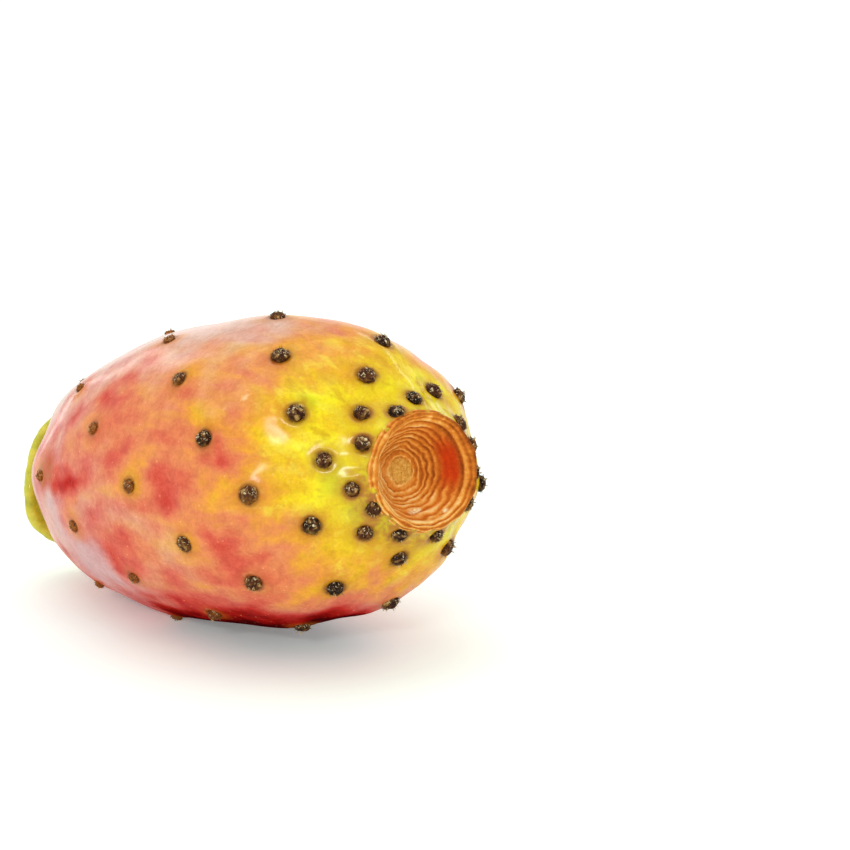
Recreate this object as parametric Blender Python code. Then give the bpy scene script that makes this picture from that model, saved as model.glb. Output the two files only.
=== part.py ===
"""Prickly pear fruit, whole and as picked, lying on its side.

Units are metres and +Z is up. The fruit's long axis runs near +X, from the stem end to the
crown, and it leans up a little towards the crown, as it comes to rest on its belly.

The fruit is one solid: the plump body, the thin slice of pad left on the stem end, the round
scar sunk in the crown, and the felted cushions that the fine spines grow from. A place on the
surface is named by its drop, the distance from the crown's rim along the skin towards the
stem end, and by its turn, the angle round the axis from the top towards the -Y side. Inside
the crown the drop is negative.
"""
import bisect
import math

import bmesh
import bpy
from mathutils import Matrix, Vector

MM = 0.001

# Half outline of the body, turned about the long axis: stations as (along the axis, radius)
NECK = (0.6 * MM, 6.2 * MM)
NECK_SWELL = (2.9 * MM, 13.4 * MM)
GIRTH_X = 51.0 * MM
GIRTH_RADIUS = 25.0 * MM
GIRTH_REACH_TO_STEM = 32.8 * MM
GIRTH_REACH_TO_CROWN = 28.4 * MM
SHOULDER = (76.6 * MM, 16.1 * MM)
RIM = (88.0 * MM, 8.8 * MM)

# The crown's rounded lip, the dish inside it and the flat scar on the dish's floor
LIP_OUTSIDE = (88.5 * MM, 8.75 * MM)
LIP_CREST = (88.4 * MM, 8.5 * MM)
DISH_EDGE = (86.9 * MM, 7.9 * MM)
DISH_WALL = (85.4 * MM, 6.9 * MM)
DISH_FOOT = (82.8 * MM, 4.6 * MM)
DISH_FLOOR = (82.2 * MM, 3.4 * MM)
SCAR_EDGE = (82.5 * MM, 2.1 * MM)
DISH_STEP = 0.25 * MM
DISH_STEPS = 4

# The slice of pad on the stem end: a lobed plate with a rounded rim
SLICE_BACK = (-2.5 * MM, 8.8 * MM)
SLICE_RIM_BACK = (-1.9 * MM, 12.6 * MM)
SLICE_RIM_FRONT = (1.1 * MM, 12.6 * MM)
SLICE_FRONT = (0.7 * MM, 10.2 * MM)
SLICE_LOBES = ((2, 0.10, 0.4), (3, 0.04, 0.9), (5, 0.02, 2.2))

# How the axis departs from straight, and how the fruit lies
LENGTH = RIM[0]
CROWN_SLANT = 0.25
CROWN_SLANT_START = 0.6
AXIS_SAG = 0.62 * MM
LEAN = math.radians(10.4)
LIE_HEIGHT = 24.9 * MM
LIE_SHIFT = (0.37 * MM, 0.24 * MM)

# Cushions: one spiral from the rim to the stem end, crowded round the rim. They grow at first,
# then shrink over a part of the way to the neck. Their height and softened edge are parts of
# their radius.
CUSHION_RADIUS_AT_RIM = 1.25 * MM
CUSHION_RADIUS = 1.5 * MM
CUSHION_RADIUS_AT_STEM = 0.9 * MM
CUSHION_GROWS_FOR = 14.0 * MM
CUSHION_SHRINKS = (0.1, 0.75)
CUSHION_HEIGHT = 0.6
CUSHION_ROOT = 1.0 * MM
CUSHION_EDGE = 0.32
CUSHION_TAPER = 0.9
SPIRAL_FIRST_DROP = 1.5 * MM
SPIRAL_RISE = 1.876 * MM
SPIRAL_CROWDING = 18.43
SPIRAL_CROWDED_FOR = 20.43
SPIRAL_FIRST_TURN = math.radians(115.4)
SPIRAL_STEP = math.radians(-106.2)
SPIRAL_SWAY = 3.3 * MM
SPIRAL_SWAY_START = 1.6
SPIRAL_TWIST = math.radians(6.3)
SPIRAL_TWIST_START = 4.21
SPIRAL_STEADY_FROM = 20.0 * MM
SPIRAL_LAST_DROP = 82.0 * MM
SPIRAL_MOST = 100

# Relief of the skin: a swelling behind each cushion, ribs to the crown, folds at the stem end
SWELLING_HEIGHT = 0.5 * MM
SWELLING_LENGTH = 6.5 * MM
SWELLING_WIDTH = 4.2 * MM
SWELLING_BEHIND = 2.5 * MM
RIB_HEIGHT = 0.2 * MM
RIB_COUNT = 7
RIB_START = 0.6
FOLD_HEIGHT = 0.3 * MM
FOLD_COUNT = 9
FOLD_WANDER = 1.3
LIP_WAVE = 0.2 * MM
LIP_WAVES = 11

# Mesh density
COLUMNS = 52
SLICE_ROWS = 7
SKIN_ROWS = 34
LIP_ROWS = 4
DISH_ROWS = 16
CURVE_POINTS = 40
CUSHION_SIDES = 8

# Step along the surface that finds which way it faces, and the shortest edge that is kept
NUDGE = 0.01 * MM
SHORTEST_EDGE = 0.03 * MM


def curve(a, b, c, d):
    """Points of a cubic curve from a to d, with its last point left out."""
    a, b, c, d = Vector(a), Vector(b), Vector(c), Vector(d)
    points = []
    for step in range(CURVE_POINTS):
        t = step / CURVE_POINTS
        s = 1.0 - t
        points.append(s ** 3 * a + 3 * s * s * t * b + 3 * s * t * t * c + t ** 3 * d)
    return points


def ease(value, start, end):
    """Smooth step from 0 at start to 1 at end."""
    t = min(max((value - start) / (end - start), 0.0), 1.0)
    return t * t * (3.0 - 2.0 * t)


def outline():
    """The half outline from the scar in the crown to the back of the slice, with its drops."""
    girth = (GIRTH_X, GIRTH_RADIUS)
    crown = curve(SCAR_EDGE, DISH_FLOOR, DISH_FLOOR, DISH_FOOT)
    crown += curve(DISH_FOOT, DISH_FOOT, DISH_WALL, DISH_EDGE)
    crown += curve(DISH_EDGE, LIP_CREST, LIP_OUTSIDE, RIM)
    skin = curve(RIM, SHOULDER, (GIRTH_X + GIRTH_REACH_TO_CROWN, GIRTH_RADIUS), girth)
    skin += curve(girth, (GIRTH_X - GIRTH_REACH_TO_STEM, GIRTH_RADIUS), NECK_SWELL, NECK)
    end = curve(NECK, NECK, SLICE_FRONT, SLICE_FRONT)
    end += curve(SLICE_FRONT, SLICE_RIM_FRONT, SLICE_RIM_BACK, SLICE_BACK)
    end.append(Vector(SLICE_BACK))
    points = crown + skin + end
    drops = [0.0]
    for here, there in zip(points, points[1:]):
        drops.append(drops[-1] + (there - here).length)
    rim_drop = drops[len(crown)]
    drops = [drop - rim_drop for drop in drops]
    return points, drops, drops[len(crown) + len(skin)]


OUTLINE, DROPS, NECK_DROP = outline()
SCAR_DROP = DROPS[0]
DISH_DROP = DROPS[2 * CURVE_POINTS]
SLICE_DROP = DROPS[-1]


def outline_at(drop):
    """Point of the half outline at a drop, and the way out of the surface there."""
    last = min(max(bisect.bisect_right(DROPS, drop), 1), len(DROPS) - 1)
    start, end = OUTLINE[last - 1], OUTLINE[last]
    part = (drop - DROPS[last - 1]) / (DROPS[last] - DROPS[last - 1])
    along = (end - start).normalized()
    return start.lerp(end, part), Vector((along.y, -along.x))


def cushion_spots():
    """Drop and turn of each cushion, from the crown's rim to the stem end."""
    spots = []
    for number in range(SPIRAL_MOST):
        crowded = SPIRAL_CROWDING * math.tanh(number / SPIRAL_CROWDED_FOR)
        fall = SPIRAL_RISE * (number - crowded)
        turn = SPIRAL_FIRST_TURN + number * SPIRAL_STEP
        sway = SPIRAL_SWAY * math.sin(turn + SPIRAL_SWAY_START)
        drop = SPIRAL_FIRST_DROP + fall - sway * ease(fall, 0.0, SPIRAL_STEADY_FROM)
        turn -= SPIRAL_TWIST * math.sin(turn + SPIRAL_TWIST_START)
        if drop < SPIRAL_LAST_DROP:
            spots.append((drop, turn))
    return spots


CUSHIONS = cushion_spots()


def relief(drop, turn, radius):
    """How far the surface stands out of the plain turned shape."""
    if drop > NECK_DROP:
        return 0.0
    if drop < DISH_DROP:
        part = (drop - SCAR_DROP) / (DISH_DROP - SCAR_DROP)
        return DISH_STEP * math.sin(math.tau * DISH_STEPS * part)
    if drop < 0.0:
        return LIP_WAVE * math.sin(LIP_WAVES * turn) * math.sin(math.pi * drop / DISH_DROP)
    height = 0.0
    for cushion_drop, cushion_turn in CUSHIONS:
        along = (drop - cushion_drop - SWELLING_BEHIND) / SWELLING_LENGTH
        if abs(along) < 2.0:
            round_by = (turn - cushion_turn + math.pi) % math.tau - math.pi
            across = round_by * radius / SWELLING_WIDTH
            height += SWELLING_HEIGHT * math.exp(-along * along - across * across)
    height *= ease(drop, 0.0, 16.0 * MM)
    ribs = ease(drop, 0.0, 8.0 * MM) * ease(drop, 40.0 * MM, 22.0 * MM)
    height += RIB_HEIGHT * ribs * math.cos(RIB_COUNT * turn + RIB_START)
    from_neck = NECK_DROP - drop
    folds = ease(from_neck, 0.0, 6.0 * MM) * ease(from_neck, 38.0 * MM, 12.0 * MM)
    height += FOLD_HEIGHT * folds * math.cos(FOLD_COUNT * turn + FOLD_WANDER * math.sin(2.0 * turn))
    return height


def lie(point):
    """Slant the crown, sag the axis and lay the fruit down as it rests."""
    x, y, z = point
    x += CROWN_SLANT * y * ease(x, CROWN_SLANT_START * LENGTH, LENGTH)
    z -= AXIS_SAG * (2.0 * x / LENGTH - 1.0) ** 2
    leaning = Matrix.Rotation(-LEAN, 3, "Y") @ Vector((x - LENGTH / 2.0, y, z))
    return leaning + Vector((LIE_SHIFT[0], LIE_SHIFT[1], LIE_HEIGHT))


def surface(drop, turn):
    """Point of the finished surface."""
    point, out = outline_at(drop)
    x, radius = point + out * relief(drop, turn, point.y)
    if drop > NECK_DROP:
        lobes = sum(size * math.cos(count * turn + start) for count, size, start in SLICE_LOBES)
        radius *= 1.0 + lobes * ease(drop, NECK_DROP, NECK_DROP + 3.0 * MM)
    return lie((x, -radius * math.sin(turn), radius * math.cos(turn)))


def row_drops():
    """Drops of the mesh rows, from the scar in the crown to the back of the slice."""
    stretches = (
        (SCAR_DROP, DISH_DROP, DISH_ROWS),
        (DISH_DROP, 0.0, LIP_ROWS),
        (0.0, NECK_DROP, SKIN_ROWS),
        (NECK_DROP, SLICE_DROP, SLICE_ROWS),
    )
    drops = []
    for start, end, rows in stretches:
        drops += [start + (end - start) * row / rows for row in range(rows)]
    return drops + [SLICE_DROP]


def plain_material(name, colour, roughness):
    material = bpy.data.materials.new(name)
    material.use_nodes = True
    shader = material.node_tree.nodes["Principled BSDF"]
    shader.inputs["Base Color"].default_value = (*colour, 1.0)
    shader.inputs["Roughness"].default_value = roughness
    shader.inputs["Metallic"].default_value = 0.0
    return material


def body_mesh():
    """The body, crown and slice: a turned blank whose points are moved onto the surface."""
    bm = bmesh.new()
    drop_layer = bm.verts.layers.float.new("drop")
    profile = []
    for drop in row_drops():
        point, _ = outline_at(drop)
        vert = bm.verts.new((point.x, 0.0, point.y))
        vert[drop_layer] = drop
        profile.append(vert)
    edges = [bm.edges.new(pair) for pair in zip(profile, profile[1:])]
    bmesh.ops.spin(
        bm, geom=profile + edges, cent=(0.0, 0.0, 0.0), axis=(1.0, 0.0, 0.0),
        angle=math.tau, steps=COLUMNS, use_merge=True)
    for vert in bm.verts:
        vert.co = surface(vert[drop_layer], math.atan2(-vert.co.y, vert.co.z))
    ends = [edge for edge in bm.edges if edge.is_boundary]
    bmesh.ops.holes_fill(bm, edges=ends, sides=COLUMNS)
    bmesh.ops.recalc_face_normals(bm, faces=bm.faces)
    mesh = bpy.data.meshes.new("prickly_pear_fruit")
    bm.to_mesh(mesh)
    bm.free()
    return mesh


def cushion_radius(drop):
    grown = ease(drop, 0.0, CUSHION_GROWS_FOR)
    shrink = ease(drop / NECK_DROP, *CUSHION_SHRINKS)
    radius = CUSHION_RADIUS_AT_RIM + (CUSHION_RADIUS - CUSHION_RADIUS_AT_RIM) * grown
    return radius + (CUSHION_RADIUS_AT_STEM - radius) * shrink


def cushion_mesh(radius, place):
    """One felted cushion: a low round button with a softened edge, its root in the skin."""
    bm = bmesh.new()
    height = CUSHION_HEIGHT * radius
    bmesh.ops.create_cone(
        bm, cap_ends=True, segments=CUSHION_SIDES, radius1=radius,
        radius2=radius * CUSHION_TAPER, depth=height + CUSHION_ROOT)
    bmesh.ops.translate(bm, verts=bm.verts, vec=(0.0, 0.0, (height - CUSHION_ROOT) / 2.0))
    top = [edge for edge in bm.edges if min(vert.co.z for vert in edge.verts) > 0.0]
    bmesh.ops.bevel(
        bm, geom=top, offset=CUSHION_EDGE * radius, affect="EDGES", segments=1, profile=0.5,
        material=-1)
    bmesh.ops.transform(bm, matrix=place, verts=bm.verts)
    mesh = bpy.data.meshes.new("cushion")
    bm.to_mesh(mesh)
    bm.free()
    return mesh


def cushion_place(drop, turn, spin):
    """Matrix that stands a cushion on the skin at a drop and a turn."""
    here = surface(drop, turn)
    down = surface(drop + NUDGE, turn) - here
    round_by = surface(drop, turn + NUDGE / outline_at(drop)[0].y) - here
    out = down.cross(round_by).normalized()
    stand = out.to_track_quat("Z", "Y").to_matrix().to_4x4()
    return Matrix.Translation(here) @ stand @ Matrix.Rotation(spin, 4, "Z")


def evaluated_mesh(thing):
    """The object's mesh as its modifiers make it."""
    depsgraph = bpy.context.evaluated_depsgraph_get()
    return bpy.data.meshes.new_from_object(thing.evaluated_get(depsgraph))


def join_cushions(fruit, material):
    """Fuse every cushion with the body by one union on their collection."""
    cushions = bpy.data.collections.new("cushions")
    bpy.context.scene.collection.children.link(cushions)
    for number, (drop, turn) in enumerate(CUSHIONS):
        mesh = cushion_mesh(cushion_radius(drop), cushion_place(drop, turn, float(number)))
        mesh.materials.append(material)
        cushion = bpy.data.objects.new(f"cushion_{number}", mesh)
        cushion.hide_render = True
        cushion.display_type = "WIRE"
        cushions.objects.link(cushion)
    union = fruit.modifiers.new("cushions", "BOOLEAN")
    union.operation = "UNION"
    union.operand_type = "COLLECTION"
    union.collection = cushions
    union.material_mode = "TRANSFER"
    joined = evaluated_mesh(fruit)
    fruit.modifiers.clear()
    fruit.data = joined
    for cushion in list(cushions.objects):
        bpy.data.objects.remove(cushion)
    bpy.data.collections.remove(cushions)


def press_flat(fruit):
    """Cut the belly off level, which leaves the small flat spot that the fruit rests on."""
    bm = bmesh.new()
    bm.from_mesh(fruit.data)
    bmesh.ops.remove_doubles(bm, verts=bm.verts, dist=SHORTEST_EDGE)
    cut = bmesh.ops.bisect_plane(
        bm, geom=bm.verts[:] + bm.edges[:] + bm.faces[:], dist=0.001 * MM,
        plane_co=(0.0, 0.0, 0.0), plane_no=(0.0, 0.0, 1.0), clear_inner=True)
    rims = [item for item in cut["geom_cut"] if isinstance(item, bmesh.types.BMEdge)]
    bmesh.ops.holes_fill(bm, edges=rims, sides=0)
    bmesh.ops.triangulate(bm, faces=bm.faces)
    bmesh.ops.dissolve_degenerate(bm, dist=NUDGE, edges=bm.edges)
    bm.to_mesh(fruit.data)
    bm.free()


def build():
    for thing in list(bpy.data.objects):
        bpy.data.objects.remove(thing)
    skin = plain_material("skin", (0.78, 0.27, 0.10), 0.35)
    felt = plain_material("cushion_felt", (0.10, 0.06, 0.03), 0.9)
    fruit = bpy.data.objects.new("prickly_pear_fruit", body_mesh())
    bpy.context.scene.collection.objects.link(fruit)
    fruit.data.materials.append(skin)
    join_cushions(fruit, felt)
    press_flat(fruit)
    fruit.data.shade_smooth()
    fruit.data.set_sharp_from_angle(angle=math.radians(35.0))


build()
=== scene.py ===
"""Prickly pear fruit: the looks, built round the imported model.

Units are metres and +Z is up, as in the model. The fruit lies on its belly with its long axis
near +X, from the stem end to the crown. A place on the surface is named by its drop, the
distance from the crown's rim along the skin towards the stem end, and by its turn, the angle
round the axis from the top towards the -Y side. Inside the crown the drop is negative. Tables
of places give drops in millimetres and turns in degrees, and a fade is the pair of values
between which something comes in or goes out.
"""
import bisect
import functools
import math
import random

import bmesh
import bpy
from mathutils import Matrix, Vector, noise


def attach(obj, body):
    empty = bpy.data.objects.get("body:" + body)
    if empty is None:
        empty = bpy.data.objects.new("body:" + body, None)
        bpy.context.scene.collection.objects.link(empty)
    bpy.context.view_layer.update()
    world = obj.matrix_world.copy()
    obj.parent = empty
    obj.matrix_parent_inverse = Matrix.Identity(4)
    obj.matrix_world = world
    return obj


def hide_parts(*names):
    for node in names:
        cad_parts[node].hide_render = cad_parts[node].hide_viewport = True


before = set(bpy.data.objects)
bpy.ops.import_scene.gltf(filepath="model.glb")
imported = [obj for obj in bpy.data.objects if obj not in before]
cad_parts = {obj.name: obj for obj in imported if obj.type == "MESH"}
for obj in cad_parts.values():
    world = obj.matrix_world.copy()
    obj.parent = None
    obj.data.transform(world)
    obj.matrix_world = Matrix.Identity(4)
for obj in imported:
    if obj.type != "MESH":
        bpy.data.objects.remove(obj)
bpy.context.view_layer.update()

MM = 0.001
FRUIT = "prickly_pear_fruit"

# Without a seed, noise_vector changes from run to run
NOISE_SEED = 4
noise.seed_set(NOISE_SEED)

# Form, as in the model
NECK = (0.6 * MM, 6.2 * MM)
NECK_SWELL = (2.9 * MM, 13.4 * MM)
GIRTH_X = 51.0 * MM
GIRTH_RADIUS = 25.0 * MM
GIRTH_REACH_TO_STEM = 32.8 * MM
GIRTH_REACH_TO_CROWN = 28.4 * MM
SHOULDER = (76.6 * MM, 16.1 * MM)
RIM = (88.0 * MM, 8.8 * MM)
LIP_OUTSIDE = (88.5 * MM, 8.75 * MM)
LIP_CREST = (88.4 * MM, 8.5 * MM)
DISH_EDGE = (86.9 * MM, 7.9 * MM)
DISH_WALL = (85.4 * MM, 6.9 * MM)
DISH_FOOT = (82.8 * MM, 4.6 * MM)
DISH_FLOOR = (82.2 * MM, 3.4 * MM)
SCAR_EDGE = (82.5 * MM, 2.1 * MM)
SCAR_CENTRE = (82.8 * MM, 0.1 * MM)
SLICE_BACK = (-2.5 * MM, 8.8 * MM)
SLICE_RIM_BACK = (-1.9 * MM, 12.6 * MM)
SLICE_RIM_FRONT = (1.1 * MM, 12.6 * MM)
SLICE_FRONT = (0.7 * MM, 10.2 * MM)
SLICE_CENTRE = (-2.1 * MM, 0.1 * MM)
SLICE_LOBES = ((2, 0.10, 0.4), (3, 0.04, 0.9), (5, 0.02, 2.2))
SLICE_LOBES_FADE = 3.0 * MM
LENGTH = RIM[0]
CROWN_SLANT = 0.25
CROWN_SLANT_START = 0.6
AXIS_SAG = 0.62 * MM
LEAN = math.radians(10.4)
LIE_HEIGHT = 24.9 * MM
LIE_SHIFT = (0.37 * MM, 0.24 * MM)
SPIRAL_FIRST_DROP = 1.5 * MM
SPIRAL_RISE = 1.876 * MM
SPIRAL_CROWDING = 18.43
SPIRAL_CROWDED_FOR = 20.43
SPIRAL_FIRST_TURN = math.radians(115.4)
SPIRAL_STEP = math.radians(-106.2)
SPIRAL_SWAY = 3.3 * MM
SPIRAL_SWAY_START = 1.6
SPIRAL_TWIST = math.radians(6.3)
SPIRAL_TWIST_START = 4.21
SPIRAL_STEADY_FROM = 20.0 * MM
SPIRAL_LAST_DROP = 82.0 * MM
SPIRAL_MOST = 100
CUSHION_RADIUS_AT_RIM = 1.25 * MM
CUSHION_RADIUS = 1.5 * MM
CUSHION_RADIUS_AT_STEM = 0.9 * MM
CUSHION_GROWS_FOR = 14.0 * MM
CUSHION_SHRINKS = (0.1, 0.75)
SWELLING_HEIGHT = 0.5 * MM
SWELLING_LENGTH = 6.5 * MM
SWELLING_WIDTH = 4.2 * MM
SWELLING_BEHIND = 2.5 * MM
SWELLING_REACH = 2.0
SWELLING_FULL_FROM = 16.0 * MM
RIB_HEIGHT = 0.2 * MM
RIB_COUNT = 7
RIB_START = 0.6
RIB_FADES = ((0.0, 8.0), (40.0, 22.0))
FOLD_HEIGHT = 0.3 * MM
FOLD_COUNT = 9
FOLD_WANDER = 1.3
FOLD_FADES = ((0.0, 6.0), (38.0, 12.0))
CURVE_POINTS = 40
NUDGE = 0.01 * MM

# Camera: its bearing round the fruit and its rise, and where the body's middle falls in the picture
PICTURE = 850.0
FOCAL_PIXELS = 2000.0
SENSOR = 36.0
CAMERA_BEARING = math.radians(43.0)
CAMERA_RISE = math.radians(12.4)
CAMERA_DISTANCE = 331.6 * MM
CAMERA_CLIP = 10.0 * MM
MIDDLE_PIXEL = (234.5, 471.9)


def curve(a, b, c, d):
    """Points of a cubic curve from a to d, with its last point left out."""
    a, b, c, d = Vector(a), Vector(b), Vector(c), Vector(d)
    points = []
    for step in range(CURVE_POINTS):
        t = step / CURVE_POINTS
        s = 1.0 - t
        points.append(s ** 3 * a + 3 * s * s * t * b + 3 * s * t * t * c + t ** 3 * d)
    return points


def ease(value, start, end):
    """Smooth step from 0 at start to 1 at end."""
    t = min(max((value - start) / (end - start), 0.0), 1.0)
    return t * t * (3.0 - 2.0 * t)


def fade(distance, limits):
    """Smooth step of a distance between two limits in millimetres."""
    return ease(distance, limits[0] * MM, limits[1] * MM)


def outline():
    """The half outline from the middle of the scar to the middle of the slice's back."""
    girth = (GIRTH_X, GIRTH_RADIUS)
    crown = curve(SCAR_CENTRE, SCAR_CENTRE, SCAR_EDGE, SCAR_EDGE)
    crown += curve(SCAR_EDGE, DISH_FLOOR, DISH_FLOOR, DISH_FOOT)
    crown += curve(DISH_FOOT, DISH_FOOT, DISH_WALL, DISH_EDGE)
    crown += curve(DISH_EDGE, LIP_CREST, LIP_OUTSIDE, RIM)
    skin = curve(RIM, SHOULDER, (GIRTH_X + GIRTH_REACH_TO_CROWN, GIRTH_RADIUS), girth)
    skin += curve(girth, (GIRTH_X - GIRTH_REACH_TO_STEM, GIRTH_RADIUS), NECK_SWELL, NECK)
    end = curve(NECK, NECK, SLICE_FRONT, SLICE_FRONT)
    end += curve(SLICE_FRONT, SLICE_RIM_FRONT, SLICE_RIM_BACK, SLICE_BACK)
    end += curve(SLICE_BACK, SLICE_BACK, SLICE_CENTRE, SLICE_CENTRE) + [Vector(SLICE_CENTRE)]
    points = crown + skin + end
    drops = [0.0]
    for here, there in zip(points, points[1:]):
        drops.append(drops[-1] + (there - here).length)
    rim_drop = drops[len(crown)]
    return points, [drop - rim_drop for drop in drops]


OUTLINE, DROPS = outline()
CENTRE_DROP = DROPS[0]
FOOT_DROP = DROPS[2 * CURVE_POINTS]
DISH_DROP = DROPS[3 * CURVE_POINTS]
NECK_DROP = DROPS[6 * CURVE_POINTS]
SLICE_DROP = DROPS[8 * CURVE_POINTS]
BACK_DROP = DROPS[-1]


@functools.cache
def outline_at(drop):
    """Point of the half outline at a drop, and the way out of the surface there."""
    last = min(max(bisect.bisect_right(DROPS, drop), 1), len(DROPS) - 1)
    start, end = OUTLINE[last - 1], OUTLINE[last]
    part = (drop - DROPS[last - 1]) / (DROPS[last] - DROPS[last - 1])
    along = (end - start).normalized()
    return start.lerp(end, part), Vector((along.y, -along.x))


def cushion_spots():
    """Drop and turn of each cushion, from the crown's rim to the stem end."""
    spots = []
    for number in range(SPIRAL_MOST):
        crowded = SPIRAL_CROWDING * math.tanh(number / SPIRAL_CROWDED_FOR)
        fall = SPIRAL_RISE * (number - crowded)
        turn = SPIRAL_FIRST_TURN + number * SPIRAL_STEP
        sway = SPIRAL_SWAY * math.sin(turn + SPIRAL_SWAY_START)
        drop = SPIRAL_FIRST_DROP + fall - sway * ease(fall, 0.0, SPIRAL_STEADY_FROM)
        turn -= SPIRAL_TWIST * math.sin(turn + SPIRAL_TWIST_START)
        if drop < SPIRAL_LAST_DROP:
            spots.append((drop, turn))
    return spots


CUSHIONS = cushion_spots()


@functools.cache
def cushions_near(drop):
    """Cushions that reach a drop, as (number, distance along, turn, swelling abreast of it)."""
    near = []
    for number, (cushion_drop, cushion_turn) in enumerate(CUSHIONS):
        along = (drop - cushion_drop - SWELLING_BEHIND) / SWELLING_LENGTH
        if abs(along) < SWELLING_REACH:
            swelling = SWELLING_HEIGHT * math.exp(-along * along)
            swelling *= ease(drop, 0.0, SWELLING_FULL_FROM)
            near.append((number, drop - cushion_drop, cushion_turn, swelling))
    return near


def turn_between(turn, other):
    """Signed angle from one turn to another."""
    return (turn - other + math.pi) % math.tau - math.pi


def relief(drop, turn, radius):
    """How far the skin stands out of the plain turned shape."""
    if drop > NECK_DROP or drop < 0.0:
        return 0.0
    height = 0.0
    for _, _, cushion_turn, swelling in cushions_near(drop):
        across = turn_between(turn, cushion_turn) * radius / SWELLING_WIDTH
        height += swelling * math.exp(-across * across)
    ribs = fade(drop, RIB_FADES[0]) * fade(drop, RIB_FADES[1])
    height += RIB_HEIGHT * ribs * math.cos(RIB_COUNT * turn + RIB_START)
    from_neck = NECK_DROP - drop
    folds = fade(from_neck, FOLD_FADES[0]) * fade(from_neck, FOLD_FADES[1])
    wandering = FOLD_COUNT * turn + FOLD_WANDER * math.sin(2.0 * turn)
    return height + FOLD_HEIGHT * folds * math.cos(wandering)


LEANING = Matrix.Rotation(-LEAN, 3, "Y")
MIDDLE = Vector((LIE_SHIFT[0], LIE_SHIFT[1], LIE_HEIGHT))


def lie(point):
    """Slant the crown, sag the axis and lay the fruit down as it rests."""
    x, y, z = point
    x += CROWN_SLANT * y * ease(x, CROWN_SLANT_START * LENGTH, LENGTH)
    z -= AXIS_SAG * (2.0 * x / LENGTH - 1.0) ** 2
    return LEANING @ Vector((x - LENGTH / 2.0, y, z)) + MIDDLE


def surface(drop, turn, proud=0.0):
    """Point of the surface, standing proud of the model's surface by a small height."""
    point, out = outline_at(drop)
    x, radius = point + out * (relief(drop, turn, point.y) + proud)
    if drop > NECK_DROP:
        lobes = sum(size * math.cos(count * turn + start) for count, size, start in SLICE_LOBES)
        radius *= 1.0 + lobes * ease(drop, NECK_DROP, NECK_DROP + SLICE_LOBES_FADE)
    return lie((x, -radius * math.sin(turn), radius * math.cos(turn)))


def cushion_radius(drop):
    grown = ease(drop, 0.0, CUSHION_GROWS_FOR)
    shrink = ease(drop / NECK_DROP, *CUSHION_SHRINKS)
    radius = CUSHION_RADIUS_AT_RIM + (CUSHION_RADIUS - CUSHION_RADIUS_AT_RIM) * grown
    return radius + (CUSHION_RADIUS_AT_STEM - radius) * shrink


def cushion_place(drop, turn, spin):
    """Matrix that stands a cushion on the skin at a drop and a turn."""
    here = surface(drop, turn)
    down = surface(drop + NUDGE, turn) - here
    round_by = surface(drop, turn + NUDGE / outline_at(drop)[0].y) - here
    out = down.cross(round_by).normalized()
    stand = out.to_track_quat("Z", "Y").to_matrix().to_4x4()
    return Matrix.Translation(here) @ stand @ Matrix.Rotation(spin, 4, "Z")


# Materials
class Field:
    """A number or colour that changes over a surface. Arithmetic on it adds Math nodes."""

    def __init__(self, wiring, socket):
        self.wiring = wiring
        self.socket = socket

    def maths(self, operation, *values):
        return self.wiring.node("Math", {"operation": operation}, dict(enumerate(values)))

    def __add__(self, other):
        return self.maths("ADD", self, other)

    def __sub__(self, other):
        return self.maths("SUBTRACT", self, other)

    def __mul__(self, other):
        return self.maths("MULTIPLY", self, other)

    def __rsub__(self, other):
        return self.maths("SUBTRACT", other, self)

    __radd__ = __add__
    __rmul__ = __mul__

    def between(self, start, end):
        """Smooth step from 0 at start to 1 at end."""
        settings = {"interpolation_type": "SMOOTHSTEP", "clamp": True}
        inputs = {"Value": self, "From Min": start, "From Max": end}
        return self.wiring.node("MapRange", settings, inputs)


class Wiring:
    """A node tree, and the one way in which nodes are added to it."""

    def __init__(self, tree):
        self.tree = tree

    def node(self, kind, settings=None, inputs=None, output=0):
        """Add a node: its settings first, then its inputs. Returns one of its outputs."""
        made = self.tree.nodes.new("ShaderNode" + kind)
        for setting, value in (settings or {}).items():
            if setting == "stops":
                set_stops(made.color_ramp, value)
            else:
                setattr(made, setting, value)
        for socket, value in (inputs or {}).items():
            self.feed(made.inputs[socket], value)
        return Field(self, made.outputs[output])

    def feed(self, socket, value):
        if isinstance(value, Field):
            self.tree.links.new(value.socket, socket)
        else:
            socket.default_value = value


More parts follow.
